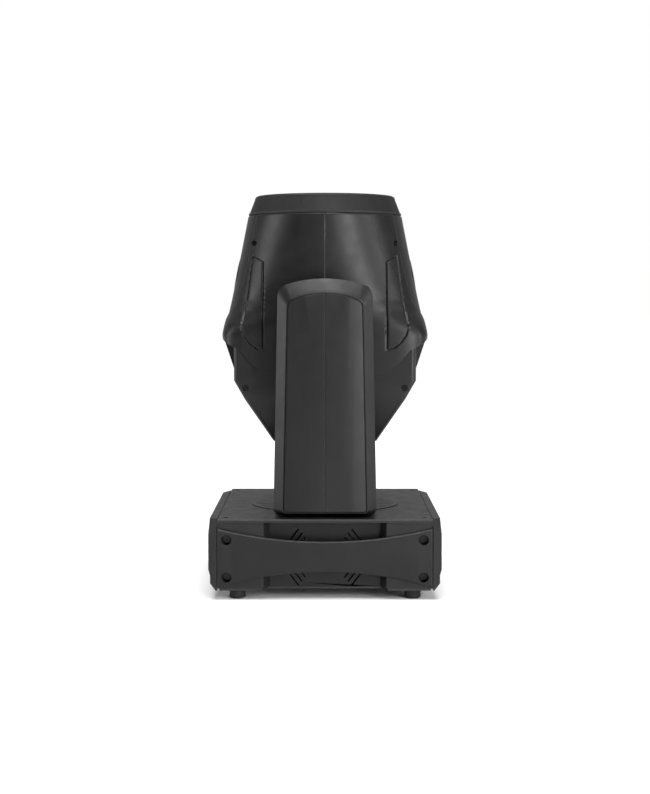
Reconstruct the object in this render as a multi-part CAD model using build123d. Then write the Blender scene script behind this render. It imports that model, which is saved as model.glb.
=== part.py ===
from build123d import *
import os
from math import atan2, cos, degrees, hypot, pi, sin, sqrt

# Moving head stage light. Millimetres, +Z up, origin on the floor under the middle of the base.
# X runs along the tilt axis, -Y is the display side and +Y the connector side.

# ---------------------------------------------------------------- driving dimensions
BASE_HALF_X = 170.0         # handle face to middle
BASE_HALF_Y = 142.0         # display face to middle
SEAM_Y = 131.8              # joint between the middle of the base and its end panels
FOOT_HEIGHT = 11.0
FOOT_RADIUS = 10.0
FOOT_X = 148.0
FOOT_Y = 107.5
BASE_TOP_Z = 99.0
PLATE = 3.0                 # steel plate
SKIN = 2.5                  # moulded plastic wall
GAP = 0.3                   # clearance between pieces that only lie close together

HANDLE_THICK = 5.0
HANDLE_END_Z = (15.6, 88.0)
HANDLE_MID_Z = (35.0, 72.1)
HANDLE_SCREW_Y = 120.0
HANDLE_SCREW_Z = (28.3, 74.1)
SCREW_RECESS_RADIUS = 6.2
RECESS_WALL_X = 148.0       # back wall of the finger recess
RECESS_TOP_HALF_Y = 75.0
RECESS_BACK_HALF_Y = 68.0
POST_X = (140.0, 156.0)     # corner posts of the chassis
POST_Y = (112.0, 129.0)

PAN_DISC_RADIUS = 96.0
PAN_DISC_THICK = 0.9
PAN_DISC_PITCH = 16.0
PAN_NECK_RADIUS = 50.0
PAN_SHAFT_RADIUS = 30.0
PAN_PULLEY_RADIUS = 54.0
PINION_RADIUS = 9.0
PAN_MOTOR_Y = -88.0
PAN_BELT_Z = (62.0, 70.0)
BEARING_PLATE_Z = 79.0
BRIDGE_HALF_Y = 114.0

YOKE_BOTTOM_Z = 102.0
YOKE_BRIDGE_TOP_Z = 132.0
ARM_TOP_Z = 391.5
ARM_HALF_WIDTH_BOTTOM = 63.3
ARM_HALF_WIDTH_TOP = 57.8
ARM_ARCH_DROP = 11.0
ARM_CORNER = 15.0
ARM_FOOT_CORNER = 8.0
ARM_INNER_X = 104.0
ARM_SPLIT_X = 130.0         # joint between the inner and outer arm shells
ARM_BEVEL_X = 146.0         # where the bevel of the outer shell starts
ARM_RIM_X = 155.0           # front of the bevelled rim
ARM_FACE_X = 158.0          # middle of the convex face panels
ARM_CROWN_ACROSS = 5.0      # how far the face panels fall away at their sides
ARM_CROWN_ALONG = 2.0       # and at their ends
UPRIGHT_X = (122.0, 125.0)  # steel uprights inside the arms

TILT_Z = 326.0
TRUNNION_RADIUS = 17.0
TILT_BEARING_RADIUS = 24.0
TILT_PULLEY_RADIUS = 36.0
TILT_MOTOR_Z = 215.0
TILT_BELT_X = (132.0, 140.0)

HEAD_TOP_Z = 499.0
BEZEL_BOTTOM_Z = 474.0
HEAD_BOTTOM_Z = 186.0
BEZEL_RADIUS = 99.0
BEZEL_TOP_RADIUS = 90.5
LENS_RADIUS = 80.0
OPTICAL_HOLE_RADIUS = 27.0
WHEEL_RADIUS = 55.0
WHEEL_OFFSET = 40.0
WHEEL_PIN_RADIUS = 3.0
COLOUR_WHEEL_Z = 282.0
GOBO_WHEEL_Z = 296.0
PRISM_PIVOT = (58.0, 0.0)
PRISM_Z = 312.0
PRISM_PARK_ANGLE = 50.0
FOCUS_Z = 372.0
ROD_RADIUS = 4.0
ROD_X = 62.0
ROD_Y = 34.0
RUNNING_FIT = 0.05

# Head cover outline: height, half width in Y, half width in X, corner radius.
COVER_SECTIONS = (
    (474.0, 99.3, 99.0, 98.9),
    (444.0, 105.8, 98.6, 86.0),
    (417.0, 110.8, 98.2, 72.0),
    (390.0, 115.9, 97.8, 58.0),
    (365.0, 120.7, 97.4, 44.0),
    (349.0, 123.6, 97.0, 34.0),
)
COLLAR_SECTIONS = (
    (349.0, 123.6, 97.0, 34.0),
    (343.0, 125.9, 96.9, 28.0),
    (322.0, 130.9, 96.8, 16.0),
    (300.0, 128.0, 96.8, 15.0),
    (262.0, 122.0, 96.8, 15.0),
)
# Lower edge of the head covers in the YZ plane, from the wing tip to under the arm.
COVER_EDGE = ((140.0, 321.0), (133.5, 320.5), (124.0, 311.0), (106.0, 302.0), (91.0, 284.0), (74.0, 274.0))
COVER_EDGE_MIDDLE_Z = 268.0
# One trim blade in the YZ plane, from its top outer corner round by the inner edge.
BLADE_OUTLINE = ((91.0, 420.0), (78.0, 413.0), (77.0, 304.0), (88.0, 306.0), (105.0, 331.0), (97.0, 368.0))
BLADE_RISE = 1.0
COVER_SCREW = (90.0, 437.0)     # Y, Z
HOUSING_SCREW = (99.5, 255.0)  # Y, Z
HEAD_FASTENER = (3.7, 2.5, 1.5, 14.0)
HOUSING_HOLE_RADIUS = 4.0
COVER_FASTENER = (3.0, 2.5, 1.5, 28.0)
COVER_BOSS_X = 54.0
BADGE_Y = 114.3
BADGE_Z = 397.0
BADGE_LEAN = 10.8
BADGE_RADIUS = 23.0
HOUSING_SECTIONS = (
    (318.0, 114.3, 93.0, 6.0),
    (264.0, 114.3, 93.0, 6.0),
    (240.0, 100.5, 93.0, 6.0),
    (186.0, 65.7, 66.0, 6.0),
)


# ---------------------------------------------------------------- helpers
def block(x, y, z):
    """Box between the given (low, high) pairs."""
    size = Box(x[1] - x[0], y[1] - y[0], z[1] - z[0])
    return Pos((x[0] + x[1]) / 2, (y[0] + y[1]) / 2, (z[0] + z[1]) / 2) * size


def post(radius, x, y, z):
    """Upright cylinder at x, y between the heights z."""
    return Pos(x, y, (z[0] + z[1]) / 2) * Cylinder(radius, z[1] - z[0])


def bar_x(radius, x, y, z):
    """Cylinder along X between the pair x."""
    return Pos((x[0] + x[1]) / 2, y, z) * Rot(0, 90, 0) * Cylinder(radius, x[1] - x[0])


def bar_y(radius, x, y, z):
    """Cylinder along Y between the pair y."""
    return Pos(x, (y[0] + y[1]) / 2, z) * Rot(90, 0, 0) * Cylinder(radius, y[1] - y[0])


def flip_x(shape):
    return mirror(shape, about=Plane.YZ)


def flip_y(shape):
    return mirror(shape, about=Plane.XZ)


def plan(points, z):
    """Prism from points in the XY plane."""
    return Pos(0, 0, z[0]) * extrude(make_face(Polyline(*points, close=True)), z[1] - z[0])


def side(points, x):
    """Prism from points (y, z), between the pair x."""
    face = Plane.YZ.offset(x[0]) * make_face(Polyline(*points, close=True))
    return extrude(face, x[1] - x[0], dir=(1, 0, 0))


def group(parts):
    return Compound(children=list(parts))


def sections_loft(sections, inset, ruled):
    """Loft through rounded rectangles, each made smaller by inset."""
    faces = []
    for z, half_y, half_x, radius in sections:
        corner = min(radius - inset * 0.5, half_x - inset - 0.1)
        faces.append(Pos(0, 0, z) * RectangleRounded(2 * (half_x - inset), 2 * (half_y - inset), corner))
    return loft(faces, ruled=ruled)


def belt(big_radius, small_radius, distance, width, thick):
    """Flat belt loop in the XY plane, big pulley at the origin, small one at x = distance."""
    lean = (big_radius - small_radius) / distance
    rise = sqrt(1 - lean * lean)

    def outline(extra):
        big = big_radius + extra
        small = small_radius + extra
        upper_big = (big * lean, big * rise)
        upper_small = (distance + small * lean, small * rise)
        lower_big = (big * lean, -big * rise)
        lower_small = (distance + small * lean, -small * rise)
        edges = [Line(upper_big, upper_small)]
        edges.append(ThreePointArc(upper_small, (distance + small, 0), lower_small))
        edges.append(Line(lower_small, lower_big))
        edges.append(ThreePointArc(lower_big, (-big, 0), upper_big))
        return make_face(Curve() + edges)

    return extrude(outline(GAP + thick), width) - extrude(outline(GAP), width)


def toothed(radius, height, teeth, tooth_depth):
    """Timing pulley blank with straight grooves."""
    wheel = Pos(0, 0, height / 2) * Cylinder(radius, height)
    groove = Pos(radius, 0, height / 2) * Box(2 * tooth_depth, pi * radius / teeth, height)
    return wheel - [Rot(0, 0, 360 * n / teeth) * groove for n in range(teeth)]


def fastener(head_radius, head_height, shank_radius, shank_length):
    """Socket head screw along Z, head above the origin and shank below."""
    head = Pos(0, 0, head_height / 2) * Cylinder(head_radius, head_height)
    shank = Pos(0, 0, -shank_length / 2) * Cylinder(shank_radius, shank_length)
    socket = Pos(0, 0, head_height * 0.7) * extrude(RegularPolygon(head_radius * 0.5, 6), head_height)
    return head + shank - socket


# ---------------------------------------------------------------- base
HANDLE_HEAD = (4.5, 2.6, 2.0, 12.0)
TOP_HEAD = (2.9, 1.6, 1.5, 10.0)
TOP_SCREW_X = 148.0
TOP_SCREW_Y = 122.0
TRAY_TOP_Z = FOOT_HEIGHT + PLATE
LID_BOTTOM_Z = BASE_TOP_Z - 4.0
WALL_X = BASE_HALF_X - HANDLE_THICK


def handle_screw_places():
    return [(sx, sy * HANDLE_SCREW_Y, z) for sx in (-1, 1) for sy in (-1, 1) for z in HANDLE_SCREW_Z]


def top_screw_places():
    return [(sx * TOP_SCREW_X, sy * TOP_SCREW_Y) for sx in (-1, 1) for sy in (-1, 1)]


def base_tray():
    """Steel floor with four corner posts, notched under the finger recesses."""
    wide = WALL_X - 3
    narrow = RECESS_WALL_X - 2
    quarter = [(wide, POST_Y[1]), (wide, RECESS_TOP_HALF_Y + 2), (narrow, RECESS_BACK_HALF_Y + 2)]
    right = quarter + [(x, -y) for x, y in reversed(quarter)]
    left = [(-x, y) for x, y in reversed(right)]
    tray = plan(right + left, (FOOT_HEIGHT, TRAY_TOP_Z))
    for sx in (-1, 1):
        for sy in (-1, 1):
            xs = sorted(sx * v for v in POST_X)
            ys = sorted(sy * v for v in POST_Y)
            tray += block(xs, ys, (TRAY_TOP_Z, LID_BOTTOM_Z))
            tray -= post(2.0, sx * FOOT_X, sy * FOOT_Y, (FOOT_HEIGHT, TRAY_TOP_Z))
    for sx, y, z in handle_screw_places():
        hole = sorted((sx * (POST_X[1] - HANDLE_HEAD[3]), sx * POST_X[1]))
        tray -= bar_x(HANDLE_HEAD[2], hole, y, z)
    for x, y in top_screw_places():
        tray -= post(TOP_HEAD[2], x, y, (LID_BOTTOM_Z - TOP_HEAD[3], LID_BOTTOM_Z))
    for x, y in clamp_holes():
        tray -= post(CLAMP_HOLE_RADIUS, x, y, (FOOT_HEIGHT, TRAY_TOP_Z))
    return tray


CLAMP_SPACING_X = 120.0
CLAMP_SPACING_Y = 106.0
CLAMP_HOLE_RADIUS = 5.5


def clamp_holes():
    return [(sx * CLAMP_SPACING_X / 2, sy * CLAMP_SPACING_Y / 2) for sx in (-1, 1) for sy in (-1, 1)]


def rubber_feet():
    """Four turned feet with a plug through the tray."""
    feet = []
    for sx in (-1, 1):
        for sy in (-1, 1):
            foot = Pos(0, 0, FOOT_HEIGHT / 2) * Cylinder(FOOT_RADIUS, FOOT_HEIGHT)
            foot = chamfer(foot.edges().group_by(Axis.Z)[0], 2.0)
            foot += post(2.0, 0, 0, (FOOT_HEIGHT, TRAY_TOP_Z))
            feet.append(Pos(sx * FOOT_X, sy * FOOT_Y, 0) * foot)
    return group(feet)


CHEVRON_WIDTH = 1.7


def chevron_slots():
    """Three nested arrow-shaped vent slots on each side of the recess wall."""
    cuts = []
    lean = 0.76
    for n in range(3):
        reach = 35.0 - 5.0 * n
        tip_y = 59.0 - 8.0 * n
        length = reach * hypot(1, lean)
        for sy in (-1, 1):
            for up in (-1, 1):
                angle = degrees(atan2(up * reach, -sy * lean * reach))
                slot = Pos(length / 2, 0, 0) * Box(length, CHEVRON_WIDTH, 3 * SKIN)
                face_on = Plane(origin=(RECESS_WALL_X, sy * tip_y, 50.0), x_dir=(0, 1, 0), z_dir=(1, 0, 0))
                cuts.append(face_on * Rot(0, 0, angle) * slot)
    return cuts


def side_panel():
    """Moulded side wall with the finger recess and its chevron vents, +X side."""
    lean = (RECESS_TOP_HALF_Y - RECESS_BACK_HALF_Y) / (WALL_X - RECESS_WALL_X)
    shift = SKIN * hypot(1, lean) - SKIN * lean
    outer = [(WALL_X, SEAM_Y - GAP), (WALL_X, RECESS_TOP_HALF_Y), (RECESS_WALL_X, RECESS_BACK_HALF_Y)]
    inner = [(RECESS_WALL_X - SKIN, RECESS_BACK_HALF_Y + shift)]
    inner += [(WALL_X - SKIN, RECESS_TOP_HALF_Y + shift), (WALL_X - SKIN, SEAM_Y - GAP)]
    points = outer + [(x, -y) for x, y in reversed(outer)] + [(x, -y) for x, y in reversed(inner)] + inner
    panel = plan(points, (TRAY_TOP_Z, LID_BOTTOM_Z))
    panel -= chevron_slots()
    for sx, y, z in handle_screw_places():
        if sx > 0:
            panel -= bar_x(SCREW_RECESS_RADIUS, (WALL_X - 2 * SKIN, WALL_X), y, z)
    return panel


def handle():
    """Bow-tie grip strap across the side of the base, +X side."""
    half = SEAM_Y - 0.5
    low, high = HANDLE_END_Z
    low_mid, high_mid = HANDLE_MID_Z
    edges = [ThreePointArc((-half, high), (0, high_mid), (half, high)), Line((half, high), (half, low))]
    edges += [ThreePointArc((half, low), (0, low_mid), (-half, low)), Line((-half, low), (-half, high))]
    face = Plane.YZ.offset(WALL_X) * make_face(Curve() + edges)
    strap = extrude(face, HANDLE_THICK, dir=(1, 0, 0))
    strap = chamfer(strap.edges().filter_by_position(Axis.X, BASE_HALF_X - 0.1, BASE_HALF_X + 0.1), 1.6)
    for sx, y, z in handle_screw_places():
        if sx > 0:
            strap -= bar_x(SCREW_RECESS_RADIUS, (WALL_X, BASE_HALF_X), y, z)
    return strap


def base_screws():
    """Eight handle screws and four lid screws."""
    parts = []
    for sx, y, z in handle_screw_places():
        parts.append(Pos(sx * POST_X[1], y, z) * Rot(0, sx * 90, 0) * fastener(*HANDLE_HEAD))
    for x, y in top_screw_places():
        parts.append(Pos(x, y, LID_BOTTOM_Z) * fastener(*TOP_HEAD))
    return group(parts)


def base_top():
    """Flat lid with a neck opening and sunk screw holes."""
    lid = block((-WALL_X - 2, WALL_X + 2), (-SEAM_Y + GAP, SEAM_Y - GAP), (LID_BOTTOM_Z, BASE_TOP_Z))
    lid = chamfer(lid.edges().group_by(Axis.Z)[-1], 1.2)
    lid -= post(PAN_NECK_RADIUS + 2, 0, 0, (LID_BOTTOM_Z, BASE_TOP_Z))
    for x, y in top_screw_places():
        lid -= post(TOP_HEAD[0] + 0.2, x, y, (LID_BOTTOM_Z, BASE_TOP_Z))
    return lid


def pan_disc():
    """Thin ribbed ring on the lid round the yoke neck."""
    low, high = BASE_TOP_Z, BASE_TOP_Z + PAN_DISC_THICK
    ring = post(PAN_DISC_RADIUS, 0, 0, (low, high)) - post(PAN_NECK_RADIUS + 2, 0, 0, (low, high))
    groove = (high - 0.5, high)
    keep = post(PAN_DISC_RADIUS - 5, 0, 0, groove)
    for n in range(-5, 6):
        x = PAN_DISC_PITCH * n
        ring -= block((x - 0.9, x + 0.9), (-PAN_DISC_RADIUS, PAN_DISC_RADIUS), groove) & keep
    return ring


CAP_FACE_Z = (38.0, 97.0)
CAP_INSIDE_Y = 136.5
CAP_FLOOR_Y = 139.7         # bottom of the shallow recess for controls and sockets
CAP_HALF_X = 168.5
CAP_CORNER = (168.5, 142.0, 81.0)       # a point on the facet across each upper corner
CAP_CORNER_NORMAL = (0.36, 0.61, 0.70)


def end_cap(recess_half_x):
    """Faceted end panel, drawn on the +Y side."""
    low, high = CAP_FACE_Z
    outline = [(SEAM_Y, BASE_TOP_Z - 0.6), (BASE_HALF_Y, high), (BASE_HALF_Y, low)]
    outline += [(BASE_HALF_Y - 2, 31), (BASE_HALF_Y - 2, 21), (SEAM_Y + 1.5, 12), (SEAM_Y, 12)]
    cap = side(outline, (-CAP_HALF_X, CAP_HALF_X))
    cut = Plane(origin=CAP_CORNER, z_dir=CAP_CORNER_NORMAL) * Pos(0, 0, 20) * Box(90, 90, 40)
    cap -= [cut, flip_x(cut)]
    inside = [(SEAM_Y, BASE_TOP_Z - 5), (CAP_INSIDE_Y, 92), (CAP_INSIDE_Y, 22), (SEAM_Y, 16)]
    cap -= side(inside, (-146, 146))
    cap -= block((-recess_half_x, recess_half_x), (CAP_FLOOR_Y, BASE_HALF_Y), (40.5, 79.5))
    return cap


BUTTON_X = tuple(14.0 + 15.0 * n for n in range(4))
BUTTON_Z = 60.0
BUTTON_RADIUS = 4.5
SOCKET_Z = 60.0
SOCKET_RADIUS = 11.0
POWER_SOCKET_X = (-98.0, -68.0)
SIGNAL_SOCKET_X = (24.0, 52.0, 80.0, 108.0)
FUSE_X = -40.0
SWITCH_X = -10.0
SWITCH_TILT = 7.0


def panel_front():
    """Display side end panel."""
    cap = end_cap(80)
    cap -= block((-66, 2), (CAP_INSIDE_Y, CAP_FLOOR_Y), (44, 76))
    for x in BUTTON_X:
        cap -= bar_y(BUTTON_RADIUS + 2 * RUNNING_FIT, -x, (CAP_INSIDE_Y, CAP_FLOOR_Y), BUTTON_Z)
    cap -= [bar_y(BUTTON_RADIUS + 2 * RUNNING_FIT, x, (CAP_INSIDE_Y, CAP_FLOOR_Y), BUTTON_Z) for x in BUTTON_X]
    return flip_y(cap)


def display_window():
    """Screen with a clear cover, set into the front panel."""
    glass = block((-65.8, 1.8), (CAP_INSIDE_Y, CAP_FLOOR_Y + 0.8), (44.2, 75.8))
    glass = chamfer(glass.edges().group_by(Axis.Y)[-1], 0.5)
    return flip_y(glass + block((-68, 4), (CAP_INSIDE_Y - 3, CAP_INSIDE_Y), (42, 78)))


def menu_button(x):
    """Push button with a collar behind the panel."""
    cap = bar_y(BUTTON_RADIUS, x, (CAP_INSIDE_Y - 0.5, CAP_FLOOR_Y + 1.8), BUTTON_Z)
    cap = chamfer(cap.edges().group_by(Axis.Y)[-1], 0.6)
    return flip_y(cap + bar_y(BUTTON_RADIUS + 1.5, x, (CAP_INSIDE_Y - 2.5, CAP_INSIDE_Y - 0.3), BUTTON_Z))


def panel_rear():
    """Connector side end panel."""
    cap = end_cap(126)
    for x in POWER_SOCKET_X + SIGNAL_SOCKET_X:
        cap -= bar_y(SOCKET_RADIUS, x, (CAP_INSIDE_Y, CAP_FLOOR_Y), SOCKET_Z)
    cap -= bar_y(6.0, FUSE_X, (CAP_INSIDE_Y, CAP_FLOOR_Y), SOCKET_Z)
    cap -= block((SWITCH_X - 7, SWITCH_X + 7), (CAP_INSIDE_Y, CAP_FLOOR_Y), (SOCKET_Z - 10, SOCKET_Z + 10))
    return cap


def flanged_socket(x, mouth_radius, pins):
    """Panel socket: square flange, round barrel, open mouth and contact pins."""
    body = block((x - 12.5, x + 12.5), (CAP_FLOOR_Y, CAP_FLOOR_Y + 1.5), (SOCKET_Z - 15, SOCKET_Z + 15))
    body = chamfer(body.edges().filter_by(Axis.Y), 2.0)
    body += bar_y(SOCKET_RADIUS, x, (CAP_INSIDE_Y - 18, CAP_FLOOR_Y), SOCKET_Z)
    body -= bar_y(mouth_radius, x, (CAP_INSIDE_Y - 14, CAP_FLOOR_Y + 1.5), SOCKET_Z)
    for n in range(pins):
        turn = 2 * pi * n / pins + pi / 2
        pin_x = x + 5.0 * cos(turn)
        body += bar_y(1.1, pin_x, (CAP_INSIDE_Y - 14, CAP_INSIDE_Y - 2), SOCKET_Z + 5.0 * sin(turn))
    return body


def power_sockets():
    """Mains inlet, mains outlet and fuse holder."""
    fuse = bar_y(6.0, FUSE_X, (CAP_INSIDE_Y - 20, CAP_FLOOR_Y), SOCKET_Z)
    cap = bar_y(8.0, FUSE_X, (CAP_FLOOR_Y, BASE_HALF_Y), SOCKET_Z)
    cap -= block((FUSE_X - 5, FUSE_X + 5), (BASE_HALF_Y - 1, BASE_HALF_Y), (SOCKET_Z - 0.8, SOCKET_Z + 0.8))
    return group([flanged_socket(x, 9.5, 3) for x in POWER_SOCKET_X] + [fuse + cap])


def signal_sockets():
    """Control signal sockets, two with three pins and two with five."""
    return group([flanged_socket(x, 9.0, pins) for x, pins in zip(SIGNAL_SOCKET_X, (3, 3, 5, 5))])


def power_switch():
    """Rocker on its pivot in the rear panel, in the off position."""
    y0 = CAP_INSIDE_Y + 0.5
    points = [(y0, SOCKET_Z - 9), (CAP_FLOOR_Y + 1.0, SOCKET_Z - 9), (CAP_FLOOR_Y + 0.2, SOCKET_Z)]
    points += [(CAP_FLOOR_Y + 1.0, SOCKET_Z + 9), (y0, SOCKET_Z + 9), (y0 - 6, SOCKET_Z + 3), (y0 - 6, SOCKET_Z - 3)]
    rocker = side(points, (SWITCH_X - 6.6, SWITCH_X + 6.6))
    rocker += bar_x(2.0, (SWITCH_X - 6.9, SWITCH_X + 6.9), CAP_INSIDE_Y, SOCKET_Z)
    pivot = Pos(0, CAP_INSIDE_Y, SOCKET_Z)
    return pivot * Rot(-SWITCH_TILT, 0, 0) * Pos(0, -CAP_INSIDE_Y, -SOCKET_Z) * rocker


def bearing_plate():
    """Steel bridge over the base that carries the pan bearing."""
    ys = (-BRIDGE_HALF_Y, BRIDGE_HALF_Y)
    bridge = block((-66, 66), ys, (BEARING_PLATE_Z, BEARING_PLATE_Z + PLATE))
    for sy in (-1, 1):
        leg = sorted((sy * ys[1], sy * (ys[1] - PLATE)))
        bridge += block((-66, 66), leg, (TRAY_TOP_Z, BEARING_PLATE_Z))
    return bridge - post(PAN_SHAFT_RADIUS + 12, 0, 0, (BEARING_PLATE_Z, BEARING_PLATE_Z + PLATE))


def pan_bearing():
    """Slim bearing between the bridge and the pan shaft, with a clamping flange."""
    outer = PAN_SHAFT_RADIUS + 12
    ring = post(outer, 0, 0, (BEARING_PLATE_Z, BEARING_PLATE_Z + 12))
    ring += post(outer + 6, 0, 0, (BEARING_PLATE_Z + PLATE, BEARING_PLATE_Z + PLATE + 3))
    return ring - post(PAN_SHAFT_RADIUS + RUNNING_FIT, 0, 0, (BEARING_PLATE_Z, BEARING_PLATE_Z + 12))


def power_supply():
    """Caged power supply with a finned side."""
    box = block((-138, -74), (-60, 60), (TRAY_TOP_Z, 58))
    for n in range(14):
        y = -54 + 8 * n
        box -= block((-132, -80), (y, y + 3), (55, 58))
    return box


def main_board():
    """Control board on spacers with its larger parts."""
    board = block((74, 138), (-62, 62), (26, 28))
    for x in (79, 133):
        for y in (-57, 57):
            board += post(3, x, y, (TRAY_TOP_Z, 26))
    for n in range(4):
        board += block((84, 98), (-46 + 24 * n, -32 + 24 * n), (28, 33))
    for n in range(5):
        board += post(5, 120, -44 + 22 * n, (28, 42))
    return board


def pan_motor():
    """Square stepper motor on the tray with its shaft boss."""
    y = PAN_MOTOR_Y
    motor = block((-21, 21), (y - 21, y + 21), (TRAY_TOP_Z, PAN_BELT_Z[0] - 6))
    motor = chamfer(motor.edges().filter_by(Axis.Z), 4.0)
    return motor + post(11, 0, y, (PAN_BELT_Z[0] - 6, PAN_BELT_Z[0] - 4)) - post(
        2.5 + RUNNING_FIT, 0, y, (TRAY_TOP_Z + 20, PAN_BELT_Z[0])
    )


def pan_pinion():
    gear = Pos(0, PAN_MOTOR_Y, PAN_BELT_Z[0]) * toothed(PINION_RADIUS, 8.0, 20, 0.6)
    return gear + post(2.5, 0, PAN_MOTOR_Y, (TRAY_TOP_Z + 21, PAN_BELT_Z[0]))


def pan_belt():
    loop = belt(PAN_PULLEY_RADIUS, PINION_RADIUS, -PAN_MOTOR_Y, 6.0, 1.5)
    return Pos(0, 0, PAN_BELT_Z[0] + 1) * Rot(0, 0, -90) * loop


# ---------------------------------------------------------------- yoke
SHAFT_BORE_RADIUS = 20.0
FRAME_FLOOR_Z = YOKE_BOTTOM_Z + SKIN
UPRIGHT_HALF_Y = 40.0


def pan_shaft():
    """Hollow pan shaft with its flange."""
    shaft = post(PAN_SHAFT_RADIUS, 0, 0, (PAN_BELT_Z[0] - 4, FRAME_FLOOR_Z))
    shaft += post(PAN_NECK_RADIUS - 6, 0, 0, (BASE_TOP_Z - 4, FRAME_FLOOR_Z))
    return shaft - post(SHAFT_BORE_RADIUS, 0, 0, (PAN_BELT_Z[0] - 4, FRAME_FLOOR_Z))


def pan_pulley():
    wheel = Pos(0, 0, PAN_BELT_Z[0]) * toothed(PAN_PULLEY_RADIUS, 8.0, 120, 0.6)
    return wheel - post(PAN_SHAFT_RADIUS, 0, 0, PAN_BELT_Z)


def yoke_frame():
    """Steel U that carries the head: floor, two uprights and their foot gussets."""
    floor_z = (FRAME_FLOOR_Z, FRAME_FLOOR_Z + PLATE)
    frame = block((-UPRIGHT_X[1], UPRIGHT_X[1]), (-UPRIGHT_HALF_Y, UPRIGHT_HALF_Y), floor_z)
    for sx in (-1, 1):
        xs = sorted(sx * v for v in UPRIGHT_X)
        frame += block(xs, (-UPRIGHT_HALF_Y, UPRIGHT_HALF_Y), (FRAME_FLOOR_Z, TILT_Z + 40))
        for y in (-UPRIGHT_HALF_Y, UPRIGHT_HALF_Y - PLATE):
            gusset = [(sx * UPRIGHT_X[0], floor_z[1]), (sx * (UPRIGHT_X[0] - 17), floor_z[1])]
            gusset.append((sx * UPRIGHT_X[0], floor_z[1] + 18))
            face = Plane.XZ.offset(-y) * make_face(Polyline(*gusset, close=True))
            frame += extrude(face, PLATE, dir=(0, 1, 0))
        frame -= bar_x(TILT_BEARING_RADIUS, xs, 0, TILT_Z)
    xs = (UPRIGHT_X[0], UPRIGHT_X[1])
    frame -= bar_x(11.2, xs, 0, TILT_MOTOR_Z)
    frame -= post(SHAFT_BORE_RADIUS, 0, 0, floor_z)
    return frame


def yoke_cover():
    """Moulded housing of the yoke bridge, with the neck that enters the base."""
    half = ARM_INNER_X - GAP
    box = block((-half, half), (-ARM_HALF_WIDTH_BOTTOM, ARM_HALF_WIDTH_BOTTOM), (YOKE_BOTTOM_Z, YOKE_BRIDGE_TOP_Z))
    box = chamfer(box.edges().filter_by(Axis.X), 5.0)
    inside_y = ARM_HALF_WIDTH_BOTTOM - SKIN
    inside = block((-half, half), (-inside_y, inside_y), (FRAME_FLOOR_Z, YOKE_BRIDGE_TOP_Z - SKIN))
    box -= chamfer(inside.edges().filter_by(Axis.X), 3.5)
    box += post(PAN_NECK_RADIUS, 0, 0, (BASE_TOP_Z - 3, YOKE_BOTTOM_Z))
    return box - post(PAN_NECK_RADIUS - 4, 0, 0, (BASE_TOP_Z - 3, FRAME_FLOOR_Z))


def arm_outline(inset, top_inset, bottom_inset):
    """Tapered arm outline (Y, Z) with an arched top, made smaller on each side."""
    bottom_z = YOKE_BOTTOM_Z + bottom_inset
    top_z = ARM_TOP_Z - top_inset
    shoulder_z = top_z - ARM_ARCH_DROP
    low = ARM_HALF_WIDTH_BOTTOM - inset
    high = ARM_HALF_WIDTH_TOP - inset
    edges = Curve() + [
        Line((-low, bottom_z), (-high, shoulder_z)),
        ThreePointArc((-high, shoulder_z), (0, top_z), (high, shoulder_z)),
        Line((high, shoulder_z), (low, bottom_z)),
        Line((low, bottom_z), (-low, bottom_z)),
    ]
    face = make_face(edges)
    face = fillet(face.vertices().group_by(Axis.Y)[-1], ARM_CORNER - inset * 0.4)
    return fillet(face.vertices().group_by(Axis.Y)[0], ARM_FOOT_CORNER - inset * 0.4)


def arm_slab(inset, top_inset, bottom_inset, x):
    face = Plane.YZ.offset(x[0]) * arm_outline(inset, top_inset, bottom_inset)
    return extrude(face, x[1] - x[0], dir=(1, 0, 0))


RIM_SIDE = 12.0
RIM_TOP = 18.0
RIM_BOTTOM = 4.0
ARM_LEDGE_X = ARM_BEVEL_X + 4.0     # ledge that the face panels rest on


def arm_shell():
    """Outer arm shell with a bevelled rim round the face panels, +X side."""
    shell = arm_slab(0, 0, 0, (ARM_SPLIT_X, ARM_BEVEL_X))
    wide = Plane.YZ.offset(ARM_BEVEL_X) * arm_outline(0, 0, 0)
    narrow = Plane.YZ.offset(ARM_RIM_X) * arm_outline(RIM_SIDE - 1, RIM_TOP - 1, RIM_BOTTOM - 1)
    shell += loft([wide, narrow], ruled=True)
    shell -= arm_slab(SKIN, SKIN, SKIN, (ARM_SPLIT_X, ARM_BEVEL_X - 2))
    shell -= arm_slab(RIM_SIDE, RIM_TOP, RIM_BOTTOM, (ARM_LEDGE_X, ARM_RIM_X))
    ledge = 6.0
    return shell - arm_slab(RIM_SIDE + ledge, RIM_TOP + ledge, RIM_BOTTOM + ledge, (ARM_BEVEL_X - 2, ARM_LEDGE_X))


def crown_radius(half_length, crown):
    """Radius of an arc that falls by the crown over this half length."""
    return (half_length ** 2 + crown ** 2) / (2 * crown)


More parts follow.
